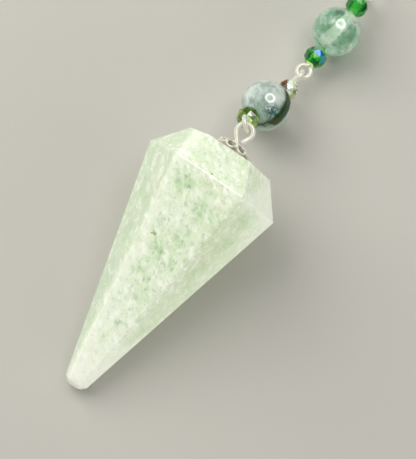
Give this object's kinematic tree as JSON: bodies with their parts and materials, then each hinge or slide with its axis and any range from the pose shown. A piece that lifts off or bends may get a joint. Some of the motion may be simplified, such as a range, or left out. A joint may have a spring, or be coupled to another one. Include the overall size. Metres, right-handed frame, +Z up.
{
  "type": "pendulum pendant",
  "caption": "Tapered six-sided stone point lying on a facet, with a filigree flower cap, a wire eye and a short beaded wire chain that ends in a plain ring.",
  "frame": {"origin": "middle of the long facet that the stone lies on, halfway between the tip's bevel and the shoulder", "axes": "+Z up from the table, +Y along the stone from its tip towards the chain, +X to the right seen from the tip"},
  "size_m": [0.022, 0.0839, 0.0186],
  "materials": {
    "stone": "polished pale green quartz, mottled with white",
    "silver": "bright silver plate, a little warm, darker in the cap's recesses",
    "olive_glass": "faceted olive glass",
    "moss_stone": "polished, milky blue-grey with dark green moss",
    "clear_glass": "faceted, nearly colourless glass",
    "green_glass": "faceted emerald glass with a thin blue iridescent coat",
    "pale_stone": "polished, clear pale sea green with white veils"
  },
  "bodies": {
    "root": {"stone_point": "stone", "bead_cap": "silver", "eye_pin": "silver", "link_1_wire": "silver", "olive_bead": "olive_glass", "moss_bead": "moss_stone", "clear_bead": "clear_glass", "link_2_wire": "silver", "green_bead_a": "green_glass", "pale_bead": "pale_stone", "green_bead_b": "green_glass", "end_ring": "silver"}
  },
  "joints": []
}
